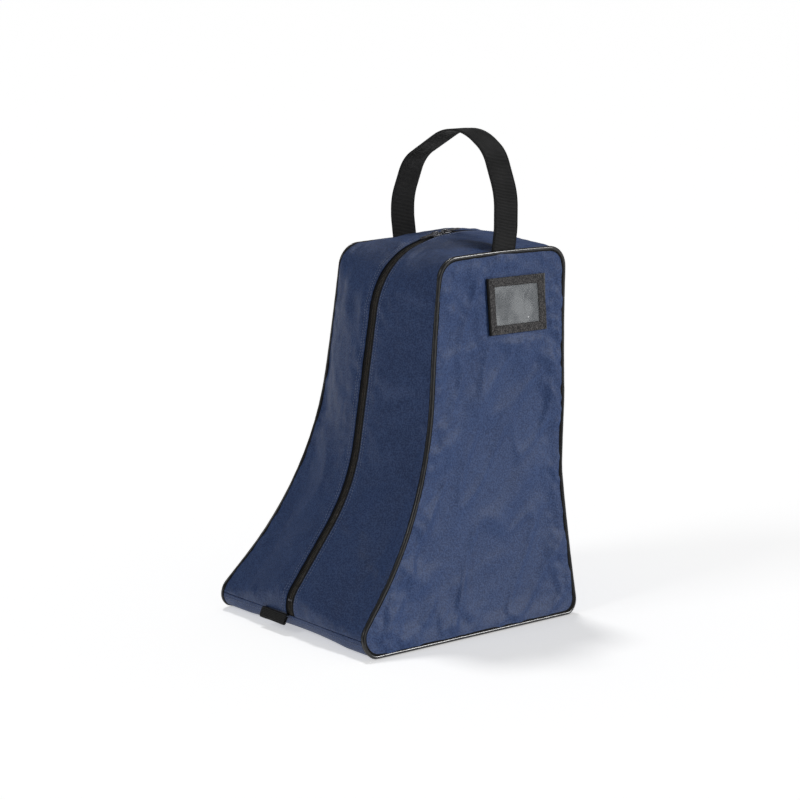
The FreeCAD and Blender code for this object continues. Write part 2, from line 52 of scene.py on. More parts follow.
# the bag's two outlines from the card holder's side, in metres: depth, height and rounding of each corner
bag = {
    "side": [(-.1766, 0, .019), (-.0476, .143, .367), (-.0166, .399, .026), (.0734, .402, 1.5),
             (.1609, .4005, .022), (.1528, .236, .2), (.142, .158, .15), (.143, 0, .018)],
    "centre": [(-.1846, 0, .030), (-.0696, .1495, .197), (-.0311, .389, .082), (.0774, .425, .200),
               (.1609, .4008, .026), (.1544, .236, .2), (.1454, .158, .15), (.145, 0, .024)],
    "flareRadius": 2.0,
    "waistHalf": .0852,
    "waistHeight": .430,
    "crownHalf": .0854,
    "seamInset": .0014,
    "baseSeam": .0195,
    "backSeam": .366,
    "zipHalf": .0065,
}


def roundedLine(corners, closed=True, arcSteps=12, runSteps=14):
    spots = [Vector(corner[:2]) for corner in corners]
    count = len(spots)
    arcs = []
    for i, spot in enumerate(spots):
        if not closed and i in (0, count - 1):
            arcs.append([spot])
            continue
        back = (spots[i - 1] - spot).normalized()
        ahead = (spots[(i + 1) % count] - spot).normalized()
        half = back.angle(ahead) / 2
        radius = corners[i][2]
        middle = spot + (back + ahead).normalized() * (radius / math.sin(half))
        first = spot + back * (radius / math.tan(half)) - middle
        last = spot + ahead * (radius / math.tan(half)) - middle
        begin = math.atan2(first.y, first.x)
        sweep = (math.atan2(last.y, last.x) - begin + math.pi) % (2 * math.pi) - math.pi
        turns = [begin + sweep * k / arcSteps for k in range(arcSteps + 1)]
        arcs.append([middle + Vector((math.cos(a), math.sin(a))) * radius for a in turns])
    points = []
    for i, arc in enumerate(arcs):
        points += arc
        if closed or i < count - 1:
            following = arcs[(i + 1) % count][0]
            points += [arc[-1].lerp(following, k / runSteps) for k in range(1, runSteps)]
    if closed:  # starts in the middle of the base
        points = points[-(runSteps // 2):] + points[:-(runSteps // 2)]
    return points


sideLoop = roundedLine(bag["side"])
centreLoop = roundedLine(bag["centre"])


def halfWidth(height):
    drop = bag["waistHeight"] - height
    return bag["waistHalf"] + bag["flareRadius"] - math.sqrt(bag["flareRadius"] ** 2 - drop ** 2)


def onForm(side, x, sidePoint, centrePoint):
    # domed between the side seams, straight beyond the crown's width
    rise = max(0.0, 1 - (x / bag["crownHalf"]) ** 2)
    spot = sidePoint.lerp(centrePoint, rise)
    return Vector((side * x, spot.x, spot.y))


def lineAround(side, inner, share):
    path = []
    for sidePoint, centrePoint in zip(sideLoop, centreLoop):
        outer = halfWidth(sidePoint.y) - bag["seamInset"]
        path.append(onForm(side, inner + share * (outer - inner), sidePoint, centrePoint))
    return path


def lineAt(x):
    return [onForm(math.copysign(1, x), abs(x), s, c) for s, c in zip(sideLoop, centreLoop)]


def crossing(path, height, rising):
    travelled = 0.0
    for a, b in zip(path, path[1:]):
        step = (b - a).length
        if (a.z <= height < b.z) if rising else (a.z > height >= b.z):
            return travelled + step * (height - a.z) / (b.z - a.z)
        travelled += step


def resampled(path, start, stop, steps):
    marks = [0.0]
    for a, b in zip(path, path[1:] + path[:1]):
        marks.append(marks[-1] + (b - a).length)
    around = marks[-1]
    found = []
    index = 0
    for k in range(steps + 1):
        mark = start + (stop - start) * k / steps
        lap = mark % around
        if index and marks[index] > lap:
            index = 0
        while marks[index + 1] < lap:
            index += 1
        share = (lap - marks[index]) / (marks[index + 1] - marks[index])
        found.append(path[index].lerp(path[(index + 1) % len(path)], share))
    return found


def pathLength(path):
    return sum((b - a).length for a, b in zip(path, path[1:]))


def evenly(path, steps):
    marks = [0.0]
    for a, b in zip(path, path[1:]):
        marks.append(marks[-1] + (b - a).length)
    found = []
    index = 0
    for k in range(steps + 1):
        mark = marks[-1] * k / steps
        while index < len(path) - 2 and marks[index + 1] < mark:
            index += 1
        found.append(path[index].lerp(path[index + 1],
                                      (mark - marks[index]) / (marks[index + 1] - marks[index])))
    return found


def showMesh(name, bm, material):
    mesh = bpy.data.meshes.new(name)
    bm.to_mesh(mesh)
    bm.free()
    mesh.shade_smooth()
    piece = bpy.data.objects.new(name, mesh)
    scene.collection.objects.link(piece)
    mesh.materials.append(material)
    return piece


def finished(piece):  # the piece as its modifiers leave it, as a plain mesh
    graph = bpy.context.evaluated_depsgraph_get()
    mesh = bpy.data.meshes.new_from_object(piece.evaluated_get(graph), depsgraph=graph)
    piece.modifiers.clear()
    piece.data = mesh
    return piece


def joined(name, pieces, material):
    bm = bmesh.new()
    for piece in pieces:
        bm.from_mesh(piece.data)
        bpy.data.objects.remove(piece)
    return showMesh(name, bm, material)


def threadCurve(name, path, cyclic=False):
    curve = bpy.data.curves.new(name, "CURVE")
    curve.dimensions = "3D"
    spline = curve.splines.new("POLY")
    spline.points.add(len(path) - 1)
    for point, spot in zip(spline.points, path):
        point.co = (*spot, 1)
    spline.use_cyclic_u = cyclic
    line = bpy.data.objects.new(name, curve)
    scene.collection.objects.link(line)
    return line


def roundCord(name, path, radius, material, sides=2, cyclic=False):
    line = threadCurve(name, path, cyclic)
    line.data.bevel_depth = radius
    line.data.bevel_resolution = sides
    graph = bpy.context.evaluated_depsgraph_get()
    mesh = bpy.data.meshes.new_from_object(line.evaluated_get(graph), depsgraph=graph)
    bpy.data.objects.remove(line)
    mesh.materials.clear()
    mesh.materials.append(material)
    mesh.shade_smooth()
    cord = bpy.data.objects.new(name, mesh)
    scene.collection.objects.link(cord)
    return cord


# materials

def newMaterial(name, colour, roughness, **sockets):
    material = bpy.data.materials.new(name)
    material.use_nodes = True
    shader = material.node_tree.nodes["Principled BSDF"]
    shader.inputs["Base Color"].default_value = (*colour, 1)
    shader.inputs["Roughness"].default_value = roughness
    for socket, value in sockets.items():
        shader.inputs[socket.replace("_", " ")].default_value = value
    return material


def addNode(material, kind, links=(), **values):
    node = material.node_tree.nodes.new(kind)
    for key, value in values.items():
        if key in node.bl_rna.properties.keys():
            setattr(node, key, value)
        else:
            node.inputs[key.replace("_", " ")].default_value = value
    for socket, source in links:
        material.node_tree.links.new(node.inputs[socket], source)
    return node


def joinShader(material, socket, source):
    material.node_tree.links.new(material.node_tree.nodes["Principled BSDF"].inputs[socket], source)


def twoTone(material, source, dark, light, low=0.35, high=0.65):
    ramp = addNode(material, "ShaderNodeValToRGB", [("Fac", source)])
    ramp.color_ramp.elements[0].position = low
    ramp.color_ramp.elements[0].color = (*dark, 1)
    ramp.color_ramp.elements[1].position = high
    ramp.color_ramp.elements[1].color = (*light, 1)
    return ramp.outputs["Color"]


def mathNode(material, operation, a, b):
    node = addNode(material, "ShaderNodeMath", operation=operation)
    for index, source in enumerate((a, b)):
        if isinstance(source, (int, float)):
            node.inputs[index].default_value = source
        else:
            material.node_tree.links.new(node.inputs[index], source)
    return node.outputs[0]


def bumped(material, layers):  # layers of height, each with its strength and depth in metres
    normal = None
    for height, strength, depth in layers:
        bump = addNode(material, "ShaderNodeBump", [("Height", height)], Strength=strength, Distance=depth)
        if normal:
            material.node_tree.links.new(bump.inputs["Normal"], normal)
        normal = bump.outputs["Normal"]
    joinShader(material, "Normal", normal)


def threads(material, coords, perMetre, direction):  # ridges of yarn across one direction
    return addNode(material, "ShaderNodeTexWave", [("Vector", coords)], wave_type="BANDS",
                   bands_direction=direction,
                   Scale=perMetre / 3.18, Distortion=0.0).outputs["Fac"]


def speckle(material, coords, scale, detail=2.0):
    return addNode(material, "ShaderNodeTexNoise", [("Vector", coords)], Scale=scale, Detail=detail,
                   Roughness=0.6).outputs["Fac"]


clothLook = {
    "dark": (.008, .023, .078), "light": (.027, .054, .140), "roughness": .5, "sheen": .02, "yarns": 1500,
    "grain": 620,
}
navyCloth = newMaterial("navyCloth", clothLook["light"], clothLook["roughness"],
                        Sheen_Weight=clothLook["sheen"],
                        Sheen_Roughness=.45, Sheen_Tint=(.62, .72, 1, 1), Specular_IOR_Level=.26)
clothUv = addNode(navyCloth, "ShaderNodeTexCoord").outputs["UV"]
clothPlace = addNode(navyCloth, "ShaderNodeTexCoord").outputs["Object"]
clothGrain = speckle(navyCloth, clothPlace, clothLook["grain"])
clothDrift = speckle(navyCloth, clothPlace, 22)
warp = threads(navyCloth, clothUv, clothLook["yarns"], "X")
weft = threads(navyCloth, clothUv, clothLook["yarns"], "Y")
weave = mathNode(navyCloth, "MAXIMUM", warp, weft)
clothShade = mathNode(navyCloth, "ADD", mathNode(navyCloth, "MULTIPLY", clothGrain, .88),
                      mathNode(navyCloth, "MULTIPLY", clothDrift, .12))
joinShader(navyCloth, "Base Color",
           twoTone(navyCloth, clothShade, clothLook["dark"], clothLook["light"], .42, .58))
bumped(navyCloth, [(clothDrift, .25, .004), (clothGrain, .7, .0005), (weave, .4, .00012)])

pipeVinyl = newMaterial("pipeVinyl", (.004, .004, .0045), .28, Coat_Weight=.2, Coat_Roughness=.16,
                        Specular_IOR_Level=.5)
vinylPlace = addNode(pipeVinyl, "ShaderNodeTexCoord").outputs["Object"]
vinylCrinkle = speckle(pipeVinyl, vinylPlace, 210, 3)
bumped(pipeVinyl, [(vinylCrinkle, .3, .0006)])

blackWebbing = newMaterial("blackWebbing", (.008, .008, .008), .7, Sheen_Weight=.015, Sheen_Roughness=.5,
                           Specular_IOR_Level=.16)
webUv = addNode(blackWebbing, "ShaderNodeTexCoord").outputs["UV"]
webRibs = threads(blackWebbing, webUv, 620, "Y")
webYarns = threads(blackWebbing, webUv, 900, "X")
webFuzz = speckle(blackWebbing, addNode(blackWebbing, "ShaderNodeTexCoord").outputs["Object"], 900, 3)
# the webbing's colour is lighter on its ribs and darker in the grooves between them: painted highlight and
# shade, mixed with random fuzz
webFuzzAndPaintedRibShade = mathNode(blackWebbing, "MULTIPLY", mathNode(blackWebbing, "ADD", webRibs, webFuzz), .5)
joinShader(blackWebbing, "Base Color",
           twoTone(blackWebbing, webFuzzAndPaintedRibShade, (.0015, .0015, .0015), (.024, .024, .0245), .35, .7))
bumped(blackWebbing, [(webRibs, 1.0, .0008), (webYarns, .6, .0004), (webFuzz, .4, .0003)])

grosgrain = newMaterial("grosgrain", (.03, .03, .033), .6, Sheen_Weight=.04, Sheen_Roughness=.5,
                        Specular_IOR_Level=.25)
grosUv = addNode(grosgrain, "ShaderNodeTexCoord").outputs["UV"]
grosRibs = threads(grosgrain, grosUv, 1000, "X")
grosFleck = speckle(grosgrain, addNode(grosgrain, "ShaderNodeTexCoord").outputs["Object"], 700, 2)
joinShader(grosgrain, "Base Color",
           twoTone(grosgrain, grosFleck, (.005, .005, .006), (.08, .075, .075), .43, .62))
bumped(grosgrain, [(grosRibs, .7, .0004), (grosFleck, .5, .0003)])

zipTape = newMaterial("zipTape", (.006, .006, .0065), .8, Specular_IOR_Level=.15)
tapeUv = addNode(zipTape, "ShaderNodeTexCoord").outputs["UV"]
tapeRibs = threads(zipTape, tapeUv, 1100, "X")
# the tape's colour is lighter on its ribs and darker in the grooves between them: painted highlight and
# shade
joinShader(zipTape, "Base Color",
           twoTone(zipTape, tapeRibs, (.004, .004, .004), (.013, .013, .014), .2, .8))
bumped(zipTape, [(tapeRibs, .7, .0003)])

coilNylon = newMaterial("coilNylon", (.05, .04, .028), .36, Specular_IOR_Level=.55)
coilFleck = speckle(coilNylon, addNode(coilNylon, "ShaderNodeTexCoord").outputs["Object"], 500, 1)
joinShader(coilNylon, "Base Color",
           twoTone(coilNylon, coilFleck, (.012, .010, .008), (.07, .058, .042), .3, .7))
bumped(coilNylon, [(coilFleck, .15, .0002)])

darkMetal = newMaterial("darkMetal", (.12, .12, .13), .34, Metallic=1.0)
metalScuff = speckle(darkMetal, addNode(darkMetal, "ShaderNodeTexCoord").outputs["Object"], 420, 4)
joinShader(darkMetal, "Base Color",
           twoTone(darkMetal, metalScuff, (.05, .05, .054), (.16, .16, .17), .3, .75))
bumped(darkMetal, [(metalScuff, .12, .0002)])

clearFilm = newMaterial("clearFilm", (.72, .76, .78), .13, Specular_IOR_Level=.7, Alpha=.16, Coat_Weight=.8,
                        Coat_Roughness=.06)
# the film's colour is painted lighter where its waves rise and darker between them: painted reflection,
# from the same waves that bump the film
filmWavesAndPaintedReflection = speckle(clearFilm, addNode(clearFilm, "ShaderNodeTexCoord").outputs["Object"], 38, 1)
joinShader(clearFilm, "Base Color", twoTone(clearFilm, filmWavesAndPaintedReflection, (.35, .38, .4), (.8, .84, .86), .4, .6))
bumped(clearFilm, [(filmWavesAndPaintedReflection, .5, .006)])

backingCloth = newMaterial("backingCloth", (.1, .105, .115), .8)
backingFleck = speckle(backingCloth, addNode(backingCloth, "ShaderNodeTexCoord").outputs["Object"], 900, 2)
joinShader(backingCloth, "Base Color",
           twoTone(backingCloth, backingFleck, (.03, .033, .038), (.09, .094, .10)))
bumped(backingCloth, [(backingFleck, .4, .0003)])

navyThread = newMaterial("navyThread", (.055, .08, .17), .5, Sheen_Weight=.3)
threadTwist = speckle(navyThread, addNode(navyThread, "ShaderNodeTexCoord").outputs["Object"], 1500, 2)
joinShader(navyThread, "Base Color", twoTone(navyThread, threadTwist, (.045, .07, .15), (.12, .16, .28)))
blackThread = newMaterial("blackThread", (.02, .02, .021), .5, Sheen_Weight=.3)
blackTwist = speckle(blackThread, addNode(blackThread, "ShaderNodeTexCoord").outputs["Object"], 1500, 2)
joinShader(blackThread, "Base Color", twoTone(blackThread, blackTwist, (.01, .01, .01), (.05, .05, .052)))

boardSheet = newMaterial("boardSheet", (.05, .05, .05), .6)
boardFleck = speckle(boardSheet, addNode(boardSheet, "ShaderNodeTexCoord").outputs["Object"], 300, 3)
joinShader(boardSheet, "Base Color", twoTone(boardSheet, boardFleck, (.035, .035, .035), (.07, .07, .07)))
bumped(boardSheet, [(boardFleck, .3, .0004)])
print("materials made")


# cloth panels

panelMake = {"thread": .0042, "thickness": .0009, "frames": 24}
insideBag = Vector((0, .03, .2))


def clothGrid(name, columns, material):
    across = len(columns) - 1
    along = len(columns[0]) - 1
    bm = bmesh.new()
    bmesh.ops.create_grid(bm, x_segments=across, y_segments=along, size=.5)
    uv = bm.loops.layers.uv.new("UVMap")
    runs = [[0.0] for _ in columns]  # lengths along each line of the cloth
    for run, column in zip(runs, columns):
        for a, b in zip(column, column[1:]):
            run.append(run[-1] + (b - a).length)
    spans = [[0.0] for _ in range(along + 1)]
    for j, span in enumerate(spans):
        for a, b in zip(columns, columns[1:]):
            span.append(span[-1] + (b[j] - a[j]).length)
    seats = {vert: (round((vert.co.x + .5) * across), round((vert.co.y + .5) * along)) for vert in bm.verts}
    for face in bm.faces:
        for loop in face.loops:
            i, j = seats[loop.vert]
            loop[uv].uv = (spans[j][i], runs[i][j])
    for vert, (i, j) in seats.items():
        vert.co = columns[i][j]
    bm.normal_update()
    return showMesh(name, bm, material)


def faceOut(piece, fromSpot):
    mesh = piece.data
    outwards = sum(f.normal.dot(f.center - fromSpot) * f.area for f in mesh.polygons)
    if outwards < 0:
        mesh.flip_normals()
    return piece


def gussetColumns(side, steps, rows):
    columns = []
    for k in range(steps + 1):
        path = lineAround(side, bag["zipHalf"], k / steps)
        start = crossing(path, bag["baseSeam"], True)
        stop = crossing(path, bag["backSeam"], False)
        columns.append(resampled(path, start, stop, rows))
    return columns


def acrossColumns(steps, rows, first, second, wrap):  # a band from one side seam to the other
    columns = []
    for k in range(-steps, steps + 1):
        path = lineAround(math.copysign(1, k), 0, abs(k) / steps)
        start = crossing(path, *first)
        stop = crossing(path, *second)
        lap = pathLength(path) + (path[0] - path[-1]).length
        columns.append(resampled(path, start, stop + (lap if wrap else 0), rows))
    return columns


def sideColumns(side, steps, rows, inset):
    loop = []
    count = len(sideLoop)
    for i, spot in enumerate(sideLoop):
        run = (sideLoop[(i + 1) % count] - sideLoop[i - 1]).normalized()
        inward = Vector((run.y, -run.x)) * inset
        loop.append(spot + inward)
    full = 12 + 14  # points to each corner and the run after it
    ahead = 14 // 2 + 12 // 2  # the first corner's middle
    nose, topFront, topBack, heel = (ahead + full * k for k in (0, 2, 4, 7))
    flat = [Vector((spot.x, spot.y, 0)) for spot in loop]
    front = evenly(flat[nose:topFront + 1], rows)
    top = evenly(flat[topFront:topBack + 1], steps)
    back = evenly(list(reversed(flat[topBack:heel + 1])), rows)
    base = evenly(list(reversed(flat[heel:] + flat[:nose + 1])), steps)
    columns = []
    for i in range(steps + 1):
        u = i / steps
        column = []
        for j in range(rows + 1):
            v = j / rows
            spot = base[i].lerp(top[i], v) + front[j].lerp(back[j], u)
            spot -= base[0].lerp(base[-1], u).lerp(top[0].lerp(top[-1], u), v)
            column.append(Vector((side * halfWidth(spot.y), spot.x, spot.y)))
        columns.append(column)
    return columns


holder = {
    "depth": .0894, "height": .343, "width": .081, "rise": .061, "border": .0095, "lift": .0003,
    "filmLap": .0025, "strip": .0013, "wave": .00035, "shift": .0012, "slant": .05, "roll": .0015,
}


def rimOf(piece):
    edges = {}
    for face in piece.data.polygons:
        for key in face.edge_keys:
            edges[key] = edges.get(key, 0) + 1
    return sorted({index for key, uses in edges.items() if uses == 1 for index in key})


def underHolder(piece):
    found = []
    for vert in piece.data.vertices:
        y = abs(vert.co.y - holder["depth"])
        z = abs(vert.co.z - holder["height"])
        if y < holder["width"] / 2 + .004 and z < holder["rise"] / 2 + .004:
            found.append(vert.index)
    return found


def sewDown(piece, held, slack, push, bending):
    group = piece.vertex_groups.new(name="sewn")
    group.add(held, 1.0, "REPLACE")
    cloth = piece.modifiers.new("cloth", "CLOTH")
    cloth.settings.quality = 7
    cloth.settings.mass = .12
    cloth.settings.tension_stiffness = 22
    cloth.settings.compression_stiffness = 22
    cloth.settings.shear_stiffness = 9
    cloth.settings.bending_stiffness = bending
    cloth.settings.air_damping = 2
    cloth.settings.vertex_group_mass = "sewn"
    cloth.settings.shrink_min = -slack
    cloth.settings.use_pressure = True
    cloth.settings.uniform_pressure_force = push
    cloth.settings.effector_weights.gravity = 0
    cloth.collision_settings.use_collision = False
    cloth.point_cache.frame_start = 1
    cloth.point_cache.frame_end = panelMake["frames"]


def takeShape(piece, outwards, inwards):  # keeps the settled shape, within a reach of the cut pattern
    starts = [vert.co.copy() for vert in piece.data.vertices]
    normals = [vert.normal.copy() for vert in piece.data.vertices]
    finished(piece)
    for vert, start, normal in zip(piece.data.vertices, starts, normals):
        move = vert.co - start
        off = move.dot(normal)
        along = move - normal * off
        off = outwards * math.tanh(off / outwards) if off > 0 else -inwards * math.tanh(-off / inwards)
        if along.length > .002:
            along *= .002 / along.length
        vert.co = start + along + normal * off


# soft ridges and hollows, each from one point to another, with a width and a height
def pressFolds(piece, folds, held):
    still = set(held)
    normals = [vert.normal.copy() for vert in piece.data.vertices]
    for vert, normal in zip(piece.data.vertices, normals):
        if vert.index in still:
            continue
        move = 0.0
        for start, end, width, lift in folds:
            first = Vector(start)
            run = Vector(end) - first
            share = max(0.0, min(1.0, (vert.co - first).dot(run) / run.length_squared))
            bow = first + run * share - vert.co
            sway = noise.noise(vert.co * 28) * width * .6
            move += lift * math.exp(-((bow.length + sway) / width) ** 2) * (1 - (2 * share - 1) ** 4 * .8)
        vert.co += normal * move


def fromSeam(spots, rim):  # how far each spot of the pattern lies from the panel's sewn edge
    tree = KDTree(len(rim))
    for index in rim:
        tree.insert(spots[index], index)
    tree.balance()
    return [tree.find(spot)[2] for spot in spots]


gather = {"size": .012, "height": .0028, "reach": .024}


def pucker(piece, aways, size, height, reach):  # small gathers where the cloth is sewn
    normals = [vert.normal.copy() for vert in piece.data.vertices]
    for vert, normal, away in zip(piece.data.vertices, normals, aways):
        strength = min(1, away / .006) * math.exp(-away / reach)
        wave = noise.fractal(vert.co * (1 / size), .8, 2.1, 3)
        vert.co += normal * (wave * height * strength)


crease = {
    "x": 9, "y": 26, "z": 15, "tilt": (5, 7), "narrow": 3.4, "power": 1.6, "height": .0021, "fade": .012,
}


def ripple(piece, aways):  # slanting creases where the stitched cloth hangs
    normals = [vert.normal.copy() for vert in piece.data.vertices]
    tiltY, tiltZ = crease["tilt"]
    for vert, normal, away in zip(piece.data.vertices, normals, aways):
        place = vert.co
        slant = Vector((place.x * crease["x"], place.y * crease["y"] - place.z * crease["z"],
                        place.z * tiltZ + place.y * tiltY))
        sharp = 1 - abs(noise.noise(slant)) * crease["narrow"]
        rise = crease["height"] * max(0, sharp) ** crease["power"]
        vert.co += normal * (rise * min(1, away / crease["fade"]))
def clearInside(piece, pattern, normals, aways, deepest):
    for vert, start, normal, away in zip(piece.data.vertices, pattern, normals, aways):
        depth = -(vert.co - start).dot(normal)
        limit = .0005 + (deepest - .0005) * max(0, min(1, (away - .009) / .012))
        if depth > limit:
            vert.co += normal * (depth - limit)


panels = {}
panelSizes = {
    "rightSide": {"steps": 72, "rows": 98, "slack": .016, "push": .4, "bending": .6, "outwards": .0045,
                  "inwards": .003},
    "leftSide": {"steps": 72, "rows": 98, "slack": .016, "push": .4, "bending": .6, "outwards": .0045,
                 "inwards": .003},
    "rightGusset": {"steps": 28, "rows": 140, "slack": .02, "push": .5, "bending": .5, "outwards": .0038,
                    "inwards": .003},
    "leftGusset": {"steps": 28, "rows": 140, "slack": .02, "push": .5, "bending": .5, "outwards": .0038,
                   "inwards": .003},
    "backBand": {"steps": 26, "rows": 84, "slack": .006, "push": .5, "bending": 1.0, "outwards": .003,
                 "inwards": .002},
    "baseBand": {"steps": 30, "rows": 90, "slack": .002, "push": .0, "bending": 2.0, "outwards": .0008,
                 "inwards": .0008},
}
for name, side in (("rightSide", 1), ("leftSide", -1)):
    size = panelSizes[name]
    panels[name] = clothGrid(name, sideColumns(side, size["steps"], size["rows"], .0015), navyCloth)
for name, side in (("rightGusset", 1), ("leftGusset", -1)):
    size = panelSizes[name]
    panels[name] = clothGrid(name, gussetColumns(side, size["steps"], size["rows"]), navyCloth)
size = panelSizes["backBand"]
panels["backBand"] = clothGrid("backBand",
                               acrossColumns(size["steps"], size["rows"], (bag["backSeam"], False),
                                                         (bag["baseSeam"], False), False), navyCloth)
size = panelSizes["baseBand"]
panels["baseBand"] = clothGrid("baseBand",
                               acrossColumns(size["steps"], size["rows"], (bag["baseSeam"], False),
                                                         (bag["baseSeam"], True), True), navyCloth)
held = {}
patterns = {}
for name, piece in panels.items():
    faceOut(piece, insideBag)
    rim = rimOf(piece)
    held[name] = rim + (underHolder(piece) if name == "rightSide" else [])
    spots = [vert.co.copy() for vert in piece.data.vertices]
    patterns[name] = (spots, [vert.normal.copy() for vert in piece.data.vertices],
                      fromSeam(spots, held[name]))
    size = panelSizes[name]
    sewDown(piece, held[name], size["slack"], size["push"], size["bending"])
for number in range(1, panelMake["frames"] + 1):
    scene.frame_set(number)
print("cloth settled")
for name, piece in panels.items():
    size = panelSizes[name]
    takeShape(piece, size["outwards"], size["inwards"])
    scene.frame_set(1)

folds = {
    "rightSide": [((.095, .012, .300), (.100, -.030, .225), .009, -.0028),
                  ((.098, .010, .215), (.103, -.040, .150), .009, -.0026),
                  ((.093, .045, .260), (.102, -.030, .170), .012, .0024),
                  ((.098, .110, .235), (.106, .020, .130), .014, -.0022),
                  ((.090, .060, .300), (.100, -.010, .180), .016, .0022),
                  ((.100, .120, .190), (.108, .030, .090), .014, .0024),
                  ((.104, .090, .120), (.110, -.060, .050), .014, -.0020),
                  ((.106, .060, .085), (.112, -.090, .030), .010, .0016),
                  ((.110, .139, .125), (.108, .115, .155), .005, .0022),
                  ((.112, .140, .100), (.112, .112, .122), .004, -.0020),
                  ((.112, .138, .085), (.114, .118, .070), .005, .0020),
                  ((.108, .142, .160), (.104, .118, .185), .005, -.0018)],
    "leftSide": [((-.095, .020, .310), (-.102, -.030, .220), .010, -.0025),
                 ((-.100, .120, .200), (-.105, .060, .120), .014, .0025)],
    "rightGusset": [((.015, -.080, .150), (.090, -.066, .165), .008, -.0028),
                    ((.012, -.092, .120), (.075, -.095, .112), .007, -.0026),
                    ((.040, -.108, .095), (.110, -.118, .070), .008, .0028),
                    ((.095, -.140, .050), (.112, -.120, .075), .006, -.0030),
                    ((.030, -.066, .190), (.085, -.056, .205), .010, .0026),
                    ((.050, -.125, .070), (.100, -.105, .100), .006, -.0024),
                    ((.020, -.050, .240), (.080, -.042, .262), .009, -.0022)],
    "leftGusset": [((-.020, -.036, .330), (-.016, -.010, .385), .008, .0028),
                   ((-.035, -.036, .330), (-.032, -.012, .385), .006, -.0024),
                   ((-.052, -.036, .320), (-.050, -.014, .380), .008, .0026),
                   ((-.025, -.058, .240), (-.070, -.050, .275), .008, -.0024),
                   ((-.015, -.110, .105), (-.080, -.120, .080), .008, .0028),
                   ((-.030, -.085, .150), (-.085, -.080, .140), .009, -.0028)],
}
for name, piece in panels.items():
    size = panelSizes[name]
    pressFolds(piece, folds.get(name, []), held[name])
    if name != "baseBand":
        pucker(piece, patterns[name][2], gather["size"], gather["height"], gather["reach"])
        ripple(piece, patterns[name][2])
    clearInside(piece, *patterns[name], size["inwards"])
print("panels shaped")

stands = {
    "rightSide": "right_side_panel", "leftSide": "left_side_panel", "rightGusset": "right_gusset",
    "leftGusset": "left_gusset", "backBand": "back_panel", "baseBand": "base_panel",
}
for name, piece in panels.items():
    wall = piece.modifiers.new("wall", "SOLIDIFY")
    wall.thickness = panelMake["thickness"]
    wall.offset = -1
    rounding = piece.modifiers.new("round", "SUBSURF")
    rounding.levels = 1
    rounding.render_levels = 1
    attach(piece, "bag")
    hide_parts(stands[name])


# stitching

stitching = {"length": .0021, "gap": .0011, "radius": .00036, "lift": .00012}


def surfaceOf(*pieces):
    graph = bpy.context.evaluated_depsgraph_get()
    return [BVHTree.FromObject(piece, graph) for piece in pieces]


def laidOn(path, trees, lift, inside=insideBag):
    laid = []
    for spot in path:
        outer = spot + (spot - inside).normalized() * .004
        best = None
        for tree in trees:
            hit, normal, _, away = tree.find_nearest(outer)
            if hit and (best is None or away < best[2]):
                best = (hit, normal, away)
        if best[1].dot(outer - inside) < 0:
            best = (best[0], -best[1], best[2])
        laid.append(best[0] + best[1] * lift)
    return laid


def stitchRow(name, path, material, length=None, radius=None):
    length = length or stitching["length"]
    radius = radius or stitching["radius"]
    pitch = length + stitching["gap"]
    bm = bmesh.new()
    bmesh.ops.create_uvsphere(bm, u_segments=6, v_segments=4, radius=1)
    bmesh.ops.rotate(bm, verts=bm.verts, matrix=Matrix.Rotation(math.pi / 2, 3, "Y"))
    bmesh.ops.scale(bm, verts=bm.verts, vec=(length / 2, radius, radius))
    bmesh.ops.translate(bm, verts=bm.verts, vec=(pitch / 2, 0, 0))
    row = showMesh(name, bm, material)
    repeat = row.modifiers.new("repeat", "ARRAY")
    repeat.count = int(pathLength(path) / pitch)
    repeat.use_relative_offset = False
    repeat.use_constant_offset = True
    repeat.constant_offset_displace = (pitch, 0, 0)
    line = threadCurve(name + "Path", path)
    follow = row.modifiers.new("follow", "CURVE")
    follow.object = line
    finished(row)
    bpy.data.objects.remove(line)
    return row


gussetTrees = surfaceOf(panels["rightGusset"], panels["leftGusset"])
zipRows = []
for x in (-.0122, -.0088, .0088, .0122):
    path = lineAt(x)
    start = crossing(path, bag["baseSeam"] + .001, True)
    stop = crossing(path, bag["backSeam"] + .001, False)
    path = laidOn(resampled(path, start, stop, 260), gussetTrees, stitching["lift"])
    zipRows.append(stitchRow("zipRow", path, navyThread))
zipTopstitch = joined("zipTopstitch", zipRows, navyThread)
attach(zipTopstitch, "bag")

baseTrees = surfaceOf(panels["baseBand"])
backTrees = surfaceOf(panels["backBand"])
bandRows = []
for height, trees, rising, count in ((bag["baseSeam"] - .003, baseTrees, True, 90),
                                     (bag["baseSeam"] - .003, baseTrees, False, 90),
                                     (bag["backSeam"] - .003, backTrees, False, 60)):
    path = []
    for k in range(-count, count + 1):
        line = lineAround(math.copysign(1, k), 0, abs(k) / count * .985)
        mark = crossing(line, height, rising)
        path += resampled(line, mark, mark + 1e-4, 1)[:1]
    bandRows.append(stitchRow("bandRow", laidOn(path, trees, stitching["lift"]), navyThread))
seamTopstitch = joined("seamTopstitch", bandRows, navyThread)
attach(seamTopstitch, "bag")
print("stitched")


# piping

pipe = {"radius": .002, "inset": .0009, "step": .003, "crinkle": .00012, "sides": 4,
        "flange": .003, "flangeInset": .0024}


def pipingPath(side, inset):
    count = len(sideLoop)
    path = []
    for i, spot in enumerate(sideLoop):
        run = (sideLoop[(i + 1) % count] - sideLoop[i - 1]).normalized()
        inner = spot + Vector((run.y, -run.x)) * inset
        height = max(inner.y, pipe["radius"])
        path.append(Vector((side * (halfWidth(height) - inset), inner.x, height)))
    lap = pathLength(path) + (path[0] - path[-1]).length
    return resampled(path, 0, lap, round(lap / pipe["step"]))[:-1]


